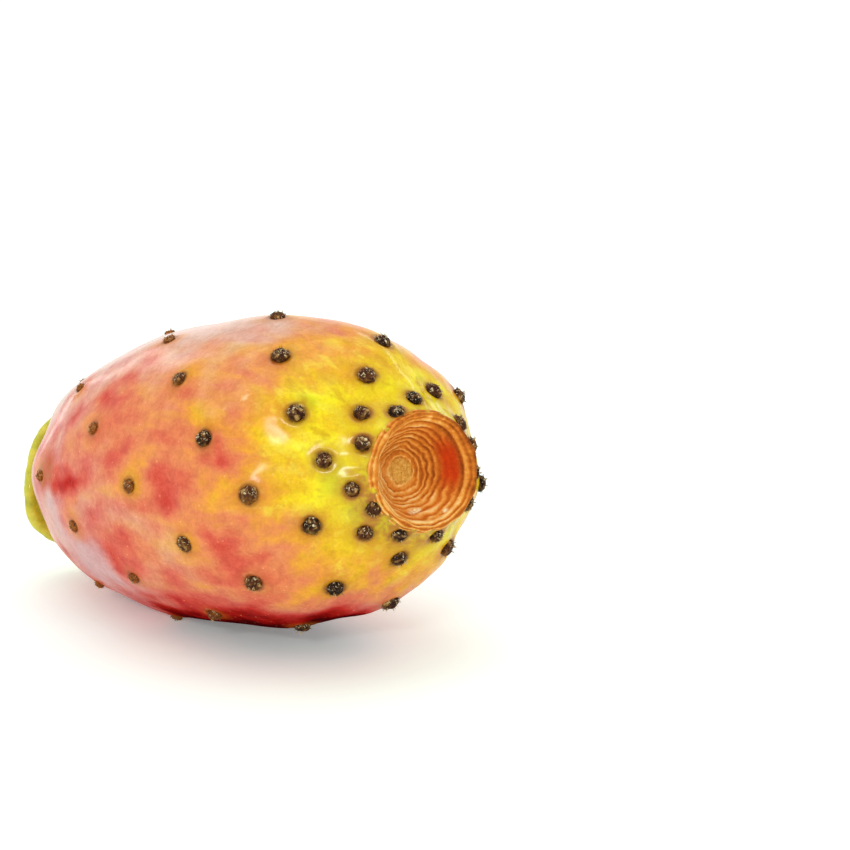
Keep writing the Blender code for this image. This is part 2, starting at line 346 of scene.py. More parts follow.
class Finish(Wiring):
    """A material, with the patterns that it is mixed from."""

    def __init__(self, name, **values):
        self.material = bpy.data.materials.new(name)
        self.material.use_nodes = True
        super().__init__(self.material.node_tree)
        self.shader = self.tree.nodes["Principled BSDF"]
        self.surface(**values)
        self.place = self.node("TexCoord", output="Object")

    def surface(self, **values):
        for socket, value in values.items():
            self.feed(self.shader.inputs[socket.replace("_", " ")], value)

    def attribute(self, name):
        return self.node("Attribute", {"attribute_name": name}, output="Fac")

    def stretched(self, x, y, z):
        """Object coordinates with the pattern turned with the fruit and stretched along its axes."""
        inputs = {"Vector": self.place, "Rotation": (0.0, LEAN, 0.0), "Scale": (x, y, z)}
        return self.node("Mapping", inputs=inputs)

    def noise(self, size, detail=2.0, roughness=0.5, distortion=0.0, place=None):
        """Cloudy noise whose patches are about size across."""
        inputs = {
            "Vector": place or self.place, "Scale": 1.0 / size, "Detail": detail,
            "Roughness": roughness, "Distortion": distortion}
        return self.node("TexNoise", inputs=inputs)

    def specks(self, size):
        """Distance from the middle of scattered cells, in cell widths."""
        inputs = {"Vector": self.place, "Scale": 1.0 / size}
        return self.node("TexVoronoi", inputs=inputs, output="Distance")

    def ramp(self, field, stops):
        return self.node("ValToRGB", {"stops": stops}, {"Fac": field})

    def mix(self, part, under, over, blend="MIX"):
        """Colour over laid on colour under, by part."""
        settings = {"data_type": "RGBA", "blend_type": blend}
        under = under if isinstance(under, Field) else srgb(under)
        over = over if isinstance(over, Field) else srgb(over)
        return self.node("Mix", settings, {0: part, 6: under, 7: over}, output=2)

    def bump(self, height):
        """Small relief, with its height in metres."""
        inputs = {"Height": height, "Distance": 1.0, "Strength": 1.0}
        self.surface(Normal=self.node("Bump", inputs=inputs))


def srgb(colour):
    """Linear colour from the 0 to 255 values of a colour card."""
    linear = []
    for value in colour:
        part = value / 255.0
        linear.append(part / 12.92 if part <= 0.04045 else ((part + 0.055) / 1.055) ** 2.4)
    return (*linear, 1.0)


def set_stops(ramp, stops):
    """Give a colour ramp its stops, each a position and a colour."""
    while len(ramp.elements) < len(stops):
        ramp.elements.new(1.0)
    for element, (position, colour) in zip(ramp.elements, stops):
        element.position = position
        element.color = srgb(colour)


# Colours of the skin from its darkest red, which under the belly is red skin in painted shade,
# to the crown's greenish yellow
RIPENESS_AND_SHADE = (
    (0.00, (70, 5, 8)),
    (0.14, (140, 16, 14)),
    (0.28, (198, 40, 30)),
    (0.42, (216, 90, 66)),
    (0.55, (226, 132, 80)),
    (0.67, (234, 158, 52)),
    (0.79, (234, 188, 24)),
    (0.91, (246, 228, 24)),
    (1.00, (222, 220, 20)),
)
# Bloom and painted sheen: a pale waxy colour that also paints the room's reflection, mauve low on the
# fruit
BLOOM_AND_SHEEN = (222, 184, 166)
MAUVE_BLOOM_AND_SHEEN = (208, 158, 158)
MAUVE_SHEEN_HEIGHT = (14.0 * MM, 34.0 * MM)
AMBER_STREAK = (208, 138, 14)
LEMON_STREAK = (246, 238, 60)
GRAIN_SHADES = ((0.36, (212, 196, 190)), (0.6, (255, 255, 255)))
PALE_DOT = (250, 214, 150)
CUSHION_STAIN = (178, 90, 18)
PALE_RING = (248, 214, 140)
# Painted shade round the foot of each cushion
BROWN_FOOT_SHADE = (126, 64, 14)
CALLUS = (250, 214, 160)
# Brown of dry skin, also painted shade low round the rim
DRY_AND_SHADED_SKIN = (168, 100, 34)


def skin_finish():
    skin = Finish(
        "skin", Coat_Roughness=0.16, Coat_IOR=1.4, Specular_IOR_Level=0.0, Subsurface_Weight=0.06,
        Subsurface_Radius=(1.0, 0.45, 0.2), Subsurface_Scale=0.8 * MM)
    cloud = skin.noise(5.0 * MM, detail=1.5, distortion=0.4)
    mottle = skin.noise(1.6 * MM, roughness=0.6, distortion=0.5)
    grain = skin.noise(0.4 * MM, roughness=0.6)
    streak = skin.noise(
        2.2 * MM, detail=3.0, distortion=0.2, place=skin.stretched(0.2, 1.0, 1.0))

    laid = skin.attribute("ripeness")
    turning = laid.between(0.42, 0.6) * laid.between(1.0, 0.85)
    ripe = ((cloud - 0.5) * 0.2 + (mottle - 0.5) * 0.10) * (1.0 - 0.65 * turning)
    ripe = laid + ripe + (grain - 0.5) * 0.04 + (streak - 0.5) * (0.16 + 0.2 * turning)
    colour = skin.ramp(ripe, RIPENESS_AND_SHADE)
    amber = streak.between(0.54, 0.68) * laid.between(0.6, 0.76) * 0.5
    colour = skin.mix(amber, colour, AMBER_STREAK)
    lemon = streak.between(0.46, 0.34) * laid.between(0.62, 0.76) * 0.45
    colour = skin.mix(lemon, colour, LEMON_STREAK)

    # Bloom and painted sheen, mauve low on the fruit and paler higher up
    bloom = skin.attribute("bloom") * (0.4 + 1.2 * cloud) + (mottle - 0.5) * 0.2
    height = skin.node("SeparateXYZ", inputs={"Vector": skin.place}, output="Z")
    bloom_and_sheen_colour = skin.mix(height.between(*MAUVE_SHEEN_HEIGHT), MAUVE_BLOOM_AND_SHEEN, BLOOM_AND_SHEEN)
    colour = skin.mix(bloom.between(0.0, 1.1), colour, bloom_and_sheen_colour)
    shades = skin.ramp(mottle * 0.6 + grain * 0.4, GRAIN_SHADES)
    colour = skin.mix(0.45, colour, shades, "MULTIPLY")
    dots = skin.specks(1.1 * MM).between(0.16, 0.08) * mottle.between(0.45, 0.65) * 0.35
    colour = skin.mix(dots, colour, PALE_DOT)

    gap = skin.attribute("cushion_gap")
    colour = skin.mix(gap.between(2.2, 0.2) * 0.38, colour, CUSHION_STAIN)
    ring = gap.between(0.0, 0.3) * gap.between(0.9, 0.5) * mottle.between(0.4, 0.7) * 0.12
    colour = skin.mix(ring, colour, PALE_RING)
    # Painted shade: a brown fringe round the foot of each cushion
    foot_shade = gap.between(0.7, -0.1) * (0.25 + 0.75 * mottle.between(0.3, 0.6)) * 0.75
    colour = skin.mix(foot_shade, colour, BROWN_FOOT_SHADE)
    colour = skin.mix(skin.attribute("callus") * 0.7, colour, CALLUS)
    # Dry skin, and painted shade in the band round the rim's lower side
    dry = skin.attribute("dry")
    colour = skin.mix(dry * mottle.between(0.2, 0.7), colour, DRY_AND_SHADED_SKIN)

    skin.surface(
        Base_Color=colour,
        Roughness=0.30 + 0.22 * mottle + 0.25 * dry,
        Coat_Weight=laid.between(0.15, 0.55) * (1.0 - 0.4 * cloud) * (1.0 - 0.25 * turning))
    skin.bump(
        (cloud - 0.5) * (0.14 * MM) + (mottle - 0.5) * (0.06 * MM) + grain * (0.012 * MM)
        + (streak - 0.5) * turning * (0.18 * MM) - dots * (0.03 * MM))
    return skin.material


FELT_TONES = ((0.2, (22, 9, 5)), (0.45, (58, 32, 14)), (0.68, (112, 78, 34)), (0.9, (178, 146, 88)))
OLIVE_FELT_GLOW = (112, 86, 30)
AMBER_FELT_GLOW = (178, 96, 22)
RUSTY_FELT = (162, 92, 34)
PIT = (58, 10, 8)
# Colour of the painted glints
STRAW_PAINTED_GLINT = (232, 214, 172)


def felt_finish():
    felt = Finish("cushion_felt", Coat_Weight=0.06, Coat_Roughness=0.25, Specular_IOR_Level=0.08)
    low = felt.attribute("low")
    rust = felt.attribute("rust")
    speck = felt.noise(0.35 * MM, detail=3.0, roughness=0.7)
    shade = felt.attribute("tone") + (speck - 0.5) * 0.5
    wool = felt.ramp(shade, FELT_TONES)
    # Olive or amber felt on each cushion's lower side, painted lighter as light glowing through its
    # edge
    glow_below = felt.mix(rust, OLIVE_FELT_GLOW, AMBER_FELT_GLOW)
    wool = felt.mix(low.between(0.55, 1.0) * shade.between(0.1, 0.5) * 0.85, wool, glow_below)
    wool = felt.mix(rust * speck.between(0.32, 0.55) * 0.9, wool, RUSTY_FELT)
    wool = felt.mix(felt.attribute("pit") * 0.9, wool, PIT)
    # Painted glints of light, on the upper side of each cushion
    painted_glint = felt.noise(0.34 * MM, detail=1.0, distortion=1.0)
    painted_glint = painted_glint.between(0.6, 0.68) * low.between(0.62, 0.38) * (0.9 - 0.5 * rust)
    wool = felt.mix(painted_glint, wool, STRAW_PAINTED_GLINT)
    felt.surface(Base_Color=wool, Roughness=0.45 + 0.4 * speck)
    felt.bump(speck * (0.10 * MM))
    return felt.material


SPINE_TONES = ((0.1, (64, 38, 18)), (0.45, (132, 94, 48)), (0.9, (220, 196, 142)))


def spine_finish():
    spines = Finish("spine_gold", Roughness=0.45, IOR=1.5)
    spines.surface(Base_Color=spines.ramp(spines.attribute("tone"), SPINE_TONES))
    return spines.material


PAPER_TONES = (
    (0.05, (122, 58, 14)),
    (0.28, (176, 92, 26)),
    (0.50, (214, 124, 38)),
    (0.70, (238, 166, 76)),
    (0.92, (250, 212, 136)),
)
RED_WALL_TONES = ((0.1, (172, 40, 4)), (0.5, (210, 68, 10)), (0.95, (242, 136, 54)))
DISC_TONES = ((0.35, (186, 126, 48)), (0.5, (214, 158, 66)), (0.65, (234, 188, 100)))
PEELED_PAPER = (252, 232, 180)


def crown_finish():
    crown = Finish("crown_scar", Specular_IOR_Level=0.08)
    fibre = crown.noise(0.5 * MM, detail=4.0, roughness=0.7, distortion=0.5)
    patch = crown.noise(2.4 * MM, detail=3.0, roughness=0.6, distortion=0.5)
    # The crest attribute is the paper's lightness, with painted highlights and shadows
    shade = crown.attribute("crest") + (fibre - 0.5) * 0.5 + (patch - 0.5) * 0.35
    paper = crown.ramp(shade, PAPER_TONES)
    red = crown.ramp(shade, RED_WALL_TONES)
    colour = crown.mix(crown.attribute("wall") * (0.7 + 0.6 * patch), paper, red)
    colour = crown.mix(crown.attribute("disc") * 0.85, colour, crown.ramp(fibre, DISC_TONES))
    peeled = crown.attribute("peeled") * fibre.between(0.3, 0.55)
    colour = crown.mix(peeled, colour, PEELED_PAPER)
    crown.surface(Base_Color=colour, Roughness=0.5 + 0.25 * fibre)
    crown.bump(fibre * (0.14 * MM) + patch * (0.1 * MM))
    return crown.material


RIND_TONES = ((0.25, (120, 124, 26)), (0.5, (190, 186, 44)), (0.75, (224, 208, 72)))
CUT_TONES = ((0.3, (150, 146, 70)), (0.55, (208, 200, 122)), (0.85, (236, 228, 176)))
# Brown with painted shade in the seam where the slice meets the fruit
SEAM_BROWN_AND_SHADE = (92, 54, 20)


def slice_finish():
    pad = Finish(
        "pad_slice", IOR=1.45, Coat_Weight=0.1, Subsurface_Weight=0.1,
        Subsurface_Radius=(1.0, 0.9, 0.3), Subsurface_Scale=1.0 * MM)
    cloud = pad.noise(3.0 * MM, detail=3.0, roughness=0.6, distortion=0.5)
    fibre = pad.noise(0.5 * MM, detail=3.0, roughness=0.7)
    rind = pad.ramp(cloud * 0.8 + fibre * 0.3, RIND_TONES)
    cut = pad.ramp(fibre * 0.6 + cloud * 0.5, CUT_TONES)
    colour = pad.mix(pad.attribute("flesh"), rind, cut)
    # Brown with painted shade in the seam where the slice meets the fruit
    colour = pad.mix(pad.attribute("seam") * (0.5 + 0.6 * fibre), colour, SEAM_BROWN_AND_SHADE)
    pad.surface(Base_Color=colour, Roughness=0.4 + 0.25 * fibre)
    pad.bump(fibre * (0.08 * MM) + cloud * (0.25 * MM))
    return pad.material


WHITE = (1.0, 1.0, 1.0, 1.0)
FLOOR_TONES = ((238, 251, 245), (241, 253, 248))
FLOOR_GLOW = 0.18


def floor_finish():
    floor = Finish(
        "studio_floor", Roughness=0.6, Specular_IOR_Level=0.2, Emission_Color=WHITE,
        Emission_Strength=FLOOR_GLOW)
    floor.surface(Base_Color=floor.mix(floor.noise(40.0 * MM, detail=3.0), *FLOOR_TONES))
    return floor.material


# Building the turned pieces
BURIED = -1.0
COLUMN_SPLIT = 8
SAME_PLACE = 0.1 * NUDGE


def runs_round(edge):
    """Whether an edge of a turned blank runs round its axis."""
    ends = [Vector((vert.co.x, math.hypot(vert.co.y, vert.co.z))) for vert in edge.verts]
    return (ends[0] - ends[1]).length < SAME_PLACE


def stations(start, end, rows):
    """Drops of evenly spaced rows, with the last left out."""
    return [start + (end - start) * row / rows for row in range(rows)]


def on_outline(drops):
    """Rows of a profile that lie on the half outline."""
    return [(drop, outline_at(drop)[0]) for drop in drops]


def buried(*points):
    """Rows of a profile inside the fruit, each given in millimetres along and out from the axis."""
    return [(BURIED, (along * MM, out * MM)) for along, out in points]


def turned_piece(name, profile, columns, shape, layers):
    """A closed piece: spin a half outline, then put each point in place and paint it.

    The profile is a list of (drop, point); a buried row has the drop BURIED and keeps its point.
    shape(drop, turn) gives a visible point and the values of its layers.
    """
    bm = bmesh.new()
    drop_layer = bm.verts.layers.float.new("drop")
    paint_layers = [bm.verts.layers.float.new(layer) for layer in layers]
    verts = []
    for drop, point in profile:
        vert = bm.verts.new((point[0], 0.0, point[1]))
        vert[drop_layer] = drop
        verts.append(vert)
    edges = [bm.edges.new(pair) for pair in zip(verts, verts[1:])]
    bmesh.ops.spin(
        bm, geom=verts + edges, cent=(0.0, 0.0, 0.0), axis=(1.0, 0.0, 0.0),
        angle=math.tau, steps=columns // COLUMN_SPLIT, use_merge=True)
    hoops = [edge for edge in bm.edges if runs_round(edge)]
    bmesh.ops.subdivide_edges(bm, edges=hoops, cuts=COLUMN_SPLIT - 1, use_grid_fill=True)
    for vert in bm.verts:
        if vert[drop_layer] == BURIED:
            vert.co = lie(vert.co)
        else:
            turn = math.atan2(-vert.co.y, vert.co.z)
            vert.co, values = shape(vert[drop_layer], turn)
            for layer, value in zip(paint_layers, values):
                vert[layer] = value
        vert.co.z = max(vert.co.z, 0.0)
    ends = [edge for edge in bm.edges if edge.is_boundary]
    bmesh.ops.holes_fill(bm, edges=ends, sides=columns)
    bmesh.ops.recalc_face_normals(bm, faces=bm.faces)
    return finished(name, bm)


def finished(name, bm, smooth=True):
    """The object that a bmesh makes, linked into the scene."""
    mesh = bpy.data.meshes.new(name)
    bm.to_mesh(mesh)
    bm.free()
    if smooth:
        mesh.shade_smooth()
    piece = bpy.data.objects.new(name, mesh)
    bpy.context.scene.collection.objects.link(piece)
    return piece


def side(turn, middle, far, near=0.0):
    """1 within near of a middle turn, falling to 0 at far from it. All but turn are in degrees."""
    return ease(abs(turn_between(turn, math.radians(middle))), math.radians(far), math.radians(near))


def off_spot(drop, turn, radius, spot):
    """Distance in millimetres from a spot, given as (drop, turn) in millimetres and degrees."""
    across = turn_between(turn, math.radians(spot[1])) * radius / MM
    return math.hypot(drop / MM - spot[0], across)


# Skin
SKIN_COLUMNS = 280
SKIN_ROWS = 212
SKIN_BEHIND_CROWN = ((79.5, 0.1), (79.5, 7.2), (86.6, 8.5))
SKIN_BEHIND_SLICE = ((-1.0, 5.2), (-1.0, 0.1))

# Noise over the skin: broad, close, and flowing along the fruit
BROAD_SIZE = 11.0 * MM
CLOSE_SIZE = 4.5 * MM
CLOSE_SHIFT = Vector((7.0, 3.0, 1.0))
FLOW_LENGTH = 13.0 * MM
FLOW_WIDTH = 2.8 * MM

# Relief of the skin beyond the model's
COLLAR_HEIGHT = 0.10 * MM
COLLAR_OUT = 0.45
COLLAR_WIDTH = 0.4
COLLAR_FADE = (0.0, 2.0)
SEAT_DEPTH = 1.6
PUCKER_HEIGHT = 0.11 * MM
PUCKER_COUNT = 22.0
PUCKER_WANDER = 4.0
PUCKER_FADE = (9.0, 0.5)
BROAD_HEIGHT = 0.2 * MM
BROAD_FADE = (0.0, 10.0)
CLOSE_HEIGHT = 0.06 * MM
FLOW_HEIGHT = 0.2 * MM
FLOW_FADES = ((1.0, 9.0), (42.0, 18.0))
CALLUS_HEIGHT = 0.12 * MM

# Ripeness at the rim, and its changes down the fruit, each with its fade
RIM_RIPENESS = 0.90
RIPENESS_CHANGES = (
    (-0.28, (3.0, 18.0)), (-0.06, (17.0, 34.0)), (-0.10, (34.0, 66.0)), (0.2, (84.0, 97.0)))
RIM_GREEN = 0.08
RIM_GREEN_FADE = (3.0, 0.0)
RIPENESS_WANDER = 3.5 * MM
LEMON_TURN = math.radians(57.0)
LEMON_SPREAD = 0.42
LEMON_REACH = 7.0 * MM
CLOSE_RIPENESS = 0.05
CLOSE_RIPENESS_BELOW = 0.06
CLOSE_RIPENESS_FADE = (22.0, 42.0)
BROAD_RIPENESS = 0.05
FLOW_RIPENESS = 0.11

# The red underside, darker towards the floor where the fruit rests: red skin and painted shade
UNDERSIDE = 176.0
UNDER_HALF = 36.0
UNDER_WIDENS = 18.0
UNDER_WIDENS_FADE = (22.0, 40.0)
UNDER_CORE = 0.2
UNDER_FADE = (13.0, 29.0)
UNDER_WEAKENS = 0.7
UNDER_WEAKENS_FADE = (50.0, 66.0)
UNDER_REDDENING_AND_SHADE = -0.6

# Waxy bloom, which also serves as painted sheen where the room's light glances off the skin
LEAST_BLOOM_AND_SHEEN = 0.02
BLOOM_AND_SHEEN_GROWTH = 0.42
BLOOM_AND_SHEEN_FADE = (34.0, 72.0)
CLOSE_BLOOM_AND_SHEEN = 0.25
UPPER_SHEEN = 0.22
UPPER_SHEEN_SIDE = (15.0, 62.0, 20.0)
UPPER_SHEEN_FADE = (16.0, 34.0)
HALO_BLOOM_AND_SHEEN = -0.6
UNDER_BLOOM_AND_SHEEN = -0.5

# Golden halo of each cushion: shift along and round the fruit, reach and strength
HALO_SEED = 3
HALO_LIMITS = ((-1.5, 1.0), (-2.2, 0.6), (1.6, 3.2), (0.5, 1.2))
HALO_ENDS = 2.5
HALO_RIPENESS = 0.12
HALO_FADE = (8.0, 24.0)
NO_CUSHION = 14.0

# Dry skin: right round the rim, on its near side, in a collar round each cushion by it, and in
# one spot near the stem end. A darker band round the rim, strongest on its lower side, where it is
# painted shade, takes the same brown
DRY_RIM_FADE = (1.6, 0.3)
DRY_NEAR_SIDE = (92.0, 34.0, 12.0)
DRY_NEAR_FADE = (3.4, 1.2)
DARK_RIM_BAND = 0.2
RIM_SHADE_BELOW = 0.7
RIM_SHADE_BELOW_SIDE = (155.0, 110.0, 30.0)
DARK_RIM_BAND_FADE = (9.5, 1.5)
DRY_COLLAR = 0.9
DRY_COLLAR_EDGE = (0.9, 0.1)
DRY_COLLAR_FADE = (8.0, 2.5)
DRY_SPOT = (73.0, 77.0)
DRY_SPOT_EDGE = (4.5, 1.0)
DRY_SPOT_DEPTH = 0.8

# Small pale calluses: drop, turn and radius
CALLUSES = ((21.0, 51, 0.45), (24.0, 56, 0.25))
CALLUS_EDGE = (1.4, 0.6)

# Soft patches where the colour departs from the general run:
# drop and turn, half length along the fruit and half width round it, change of ripeness, which is
# painted shade in some, and change of bloom, which is painted sheen in some
PATCHES = (
    (64.0, 84, 6.0, 2.0, -0.20, -1.1),
    (75.0, 76, 3.5, 3.0, -0.10, -0.8),
    (72.0, 92, 4.0, 4.0, 0.0, 0.4),
    (66.0, 50, 9.0, 7.0, -0.05, -0.1),
    (64.0, 68, 3.5, 2.2, 0.14, -0.4),
    (64.0, 112, 7.0, 5.0, 0.0, 0.4),
    # painted sheen on the lower left
    (62.0, 126, 9.0, 5.5, -0.04, 0.55),
    (53.0, 50, 5.5, 3.2, -0.14, -0.6),
    (52.5, 109, 6.0, 4.5, -0.11, -0.35),
    (52.0, 55, 8.0, 4.0, 0.03, 0.0),
    (45.0, 97, 5.0, 3.0, 0.02, 0.35),
    (44.0, 38, 11.0, 5.0, 0.05, 0.15),
    (43.0, 78, 5.0, 3.5, 0.06, -0.2),
    (38.0, 108, 6.0, 4.5, 0.02, 0.3),
    (37.5, 88, 5.0, 3.0, -0.15, -0.6),
    # painted sheen along the top
    (40.0, 13, 21.0, 7.0, 0.03, 0.6),
    (31.0, 86, 4.0, 3.2, -0.05, -0.7),
    (30.0, 65, 3.5, 3.0, 0.08, -0.2),
    (27.0, 97, 5.0, 3.5, 0.05, -0.1),
    # painted shade on the lower left
    (42.0, 141, 10.0, 4.5, -0.12, -0.4),
    (26.0, 133, 8.0, 5.0, -0.15, -0.1),
    # red skin and painted shade under the belly
    (27.0, 168, 8.0, 5.0, -0.08, -0.3),
    (24.0, 73, 4.0, 3.0, -0.2, -0.6),
    (24.0, 87, 3.5, 2.8, 0.13, -0.2),
    (23.0, 52, 7.0, 4.0, -0.05, 0.2),
    (26.0, 108, 6.0, 4.0, -0.15, -0.1),
    (18.0, 98, 4.5, 3.0, 0.08, 0.0),
    (23.0, 119, 5.0, 4.0, -0.12, 0.0),
    (20.0, 63, 4.5, 2.2, 0.12, 0.0),
    (18.0, 81, 5.0, 3.5, -0.07, -0.2),
    (18.0, 137, 4.0, 3.0, 0.06, -0.1),
    (16.0, 14, 6.0, 5.5, 0.06, -0.15),
    (15.0, 38, 5.5, 4.5, 0.08, 0.0),
    (13.5, 59, 5.5, 2.2, -0.12, 0.0),
    (12.0, 67, 6.0, 2.0, 0.05, -0.2),
    (12.0, -18, 6.0, 7.0, 0.12, 0.0),
    (16.0, 117, 5.0, 4.0, -0.04, 0.1),
    (8.0, 162, 5.0, 6.0, -0.10, 0.0),
    (5.0, 88, 2.5, 4.5, 0.08, 0.0),
)
PATCH_ENDS = 2.2
# The patches' edges drift by noise: its size and how far it carries them, in millimetres
DRIFTS = ((4.0, 2.2), (1.5, 0.3))


def halo_layout():
    """Shift along, shift across, reach and strength of each cushion's halo."""
    chance = random.Random(HALO_SEED)
    return [[chance.uniform(*limits) for limits in HALO_LIMITS] for _ in CUSHIONS]


HALOS = halo_layout()


class SkinSpot:
    """One point of the skin, with what its relief and its paint are worked out from."""

    def __init__(self, drop, turn):
        point, _ = outline_at(drop)
        radius = point.y
        self.drop, self.turn, self.radius = drop, turn, radius
        self.here = Vector((point.x, -radius * math.sin(turn), radius * math.cos(turn)))
        self.seat = cushion_radius(drop) / MM
        self.from_cushion, self.halo = self.nearest_cushion()
        self.gap = self.from_cushion - self.seat
        self.broad = noise.noise(self.here / BROAD_SIZE)
        self.close = noise.noise(self.here / CLOSE_SIZE + CLOSE_SHIFT)
        self.flow = noise.noise(Vector((
            drop / FLOW_LENGTH, self.here.y / FLOW_WIDTH, self.here.z / FLOW_WIDTH)))
        lemon = math.exp(-(turn_between(turn, LEMON_TURN) / LEMON_SPREAD) ** 2)
        self.painted = drop + RIPENESS_WANDER * self.broad - LEMON_REACH * lemon
        # How much the underside is red and darkened by painted shade
        half = UNDER_HALF + UNDER_WIDENS * fade(drop, UNDER_WIDENS_FADE)
        self.under = side(turn, UNDERSIDE, half, UNDER_CORE * half) * (
            fade(drop, UNDER_FADE) * (1.0 - UNDER_WEAKENS * fade(drop, UNDER_WEAKENS_FADE)))

    def nearest_cushion(self):
        """Distance to the nearest cushion's middle in millimetres, and the strongest halo."""
        nearest, strongest = NO_CUSHION, 0.0
        for number, along, cushion_turn, _ in cushions_near(self.drop):
            along /= MM
            across = turn_between(self.turn, cushion_turn) * self.radius / MM
            nearest = min(nearest, math.hypot(along, across))
            shift_along, shift_across, reach, strength = HALOS[number]
            off = math.hypot(along - shift_along, across - shift_across) / reach
            if off < HALO_ENDS:
                strongest = max(strongest, strength * math.exp(-off * off))
        return nearest, strongest

    def patchy(self):
        """Change of ripeness and of bloom that the soft patches make, with painted shade and painted
        sheen in some.
        """
        (size, carry), (fine_size, fine_carry) = DRIFTS
        drift = noise.noise_vector(self.here / (size * MM)) * carry
        drift += noise.noise_vector(self.here / (fine_size * MM)) * fine_carry
        drop, turn = self.drop + drift.x * MM, self.turn + drift.y * MM / self.radius
        ripeness = bloom = 0.0
        for at, degrees, length, width, riper, more_bloom_and_sheen in PATCHES:
            along = (drop / MM - at) / length
            if abs(along) < PATCH_ENDS:
                across = turn_between(turn, math.radians(degrees)) * self.radius / MM / width
                weight = math.exp(-along * along - across * across)
                ripeness += riper * weight
                bloom += more_bloom_and_sheen * weight
        return ripeness, bloom

    def ripeness(self):
        """Ripeness without the patches, from 0, dark red, to 1, greenish yellow, with painted shade
        under the belly.
        """
        ripeness = RIM_RIPENESS
        for change, limits in RIPENESS_CHANGES:
            ripeness += change * fade(self.painted, limits)
        ripeness += RIM_GREEN * fade(self.drop, RIM_GREEN_FADE) + UNDER_REDDENING_AND_SHADE * self.under
        near = CLOSE_RIPENESS + CLOSE_RIPENESS_BELOW * fade(self.drop, CLOSE_RIPENESS_FADE)
        ripeness += near * self.close + BROAD_RIPENESS * self.broad + FLOW_RIPENESS * self.flow
        return ripeness + HALO_RIPENESS * self.halo * fade(self.drop, HALO_FADE)

    def bloom(self):
        """Waxy bloom and painted sheen, without the patches."""
        bloom = LEAST_BLOOM_AND_SHEEN + CLOSE_BLOOM_AND_SHEEN * self.close
        bloom += BLOOM_AND_SHEEN_GROWTH * fade(self.painted, BLOOM_AND_SHEEN_FADE) * (1.0 - self.under)
        # A painted sheen along the top of the fruit
        bloom += UPPER_SHEEN * side(self.turn, *UPPER_SHEEN_SIDE) * fade(self.drop, UPPER_SHEEN_FADE)
        return bloom + HALO_BLOOM_AND_SHEEN * self.halo + UNDER_BLOOM_AND_SHEEN * self.under

    def dryness_and_shade(self):
        drop, turn = self.drop, self.turn
        # A darker band round the rim, painted shade on the lower side
        lower = DARK_RIM_BAND + RIM_SHADE_BELOW * side(turn, *RIM_SHADE_BELOW_SIDE)
        spot = ease(off_spot(drop, turn, self.radius, DRY_SPOT), *DRY_SPOT_EDGE)
        return max(
            fade(drop, DRY_RIM_FADE),
            side(turn, *DRY_NEAR_SIDE) * fade(drop, DRY_NEAR_FADE),
            lower * fade(drop, DARK_RIM_BAND_FADE),
            DRY_COLLAR * ease(self.gap, *DRY_COLLAR_EDGE) * fade(drop, DRY_COLLAR_FADE),
            DRY_SPOT_DEPTH * spot)

    def callus(self):
        callus = 0.0
        for *spot, size in CALLUSES:
            off = off_spot(self.drop, self.turn, self.radius, spot)
            callus = max(callus, ease(off, CALLUS_EDGE[0] * size, CALLUS_EDGE[1] * size))
        return callus

    def proud(self, callus):
        """How far the skin stands out of the model's."""
        drop = self.drop
        collar = math.exp(-((self.gap - COLLAR_OUT) / COLLAR_WIDTH) ** 2)
        collar -= SEAT_DEPTH * math.exp(-(self.from_cushion / self.seat) ** 4)
        pucker = math.cos(PUCKER_COUNT * self.turn + PUCKER_WANDER * self.broad)
        flow = fade(drop, FLOW_FADES[0]) * fade(drop, FLOW_FADES[1]) * self.flow
        return (
            COLLAR_HEIGHT * collar * fade(drop, COLLAR_FADE)
            + PUCKER_HEIGHT * pucker * fade(drop, PUCKER_FADE)
            + BROAD_HEIGHT * self.broad * fade(drop, BROAD_FADE)
            + CLOSE_HEIGHT * self.close + FLOW_HEIGHT * flow + CALLUS_HEIGHT * callus)


def skin_point(drop, turn):
    """Point of the skin and its paint: ripeness with painted shade, bloom with painted sheen,
    gap to a cushion, dryness with painted shade, and callus.
    """
    spot = SkinSpot(drop, turn)
    riper, more_bloom_and_sheen = spot.patchy()
    callus = spot.callus()
    paint = (
        spot.ripeness() + riper, max(spot.bloom() + more_bloom_and_sheen, 0.0), spot.gap, spot.dryness_and_shade(), callus)
    return surface(drop, turn, spot.proud(callus)), paint


def skin_piece():
    drops = stations(0.0, NECK_DROP, SKIN_ROWS) + [NECK_DROP]
    profile = buried(*SKIN_BEHIND_CROWN) + on_outline(drops) + buried(*SKIN_BEHIND_SLICE)
    return turned_piece(
        "skin", profile, SKIN_COLUMNS, skin_point,
        ("ripeness", "bloom", "cushion_gap", "dry", "callus"))


# Crown. Radii, widths and heights in the dish are in millimetres
CROWN_COLUMNS = 264
CROWN_ROWS = (50, 36, 30)
CROWN_EDGE_DROP = 1.9 * MM
CROWN_BURIED = ((84.0, 9.4), (80.0, 7.8), (80.0, 0.1))
LIP_WAVES = 13
LIP_WAVE_WANDER = 2.0
LIP_SCALLOP = 0.2
LIP_SCALLOP_HEIGHT = 0.2 * MM
LIP_WRINKLE_HEIGHT = 0.12 * MM
LIP_TUCK = 0.55 * MM
LIP_TUCK_FROM = 0.25
LIP_START = (7.9, 8.3)
DISH_PROUD = 0.12 * MM

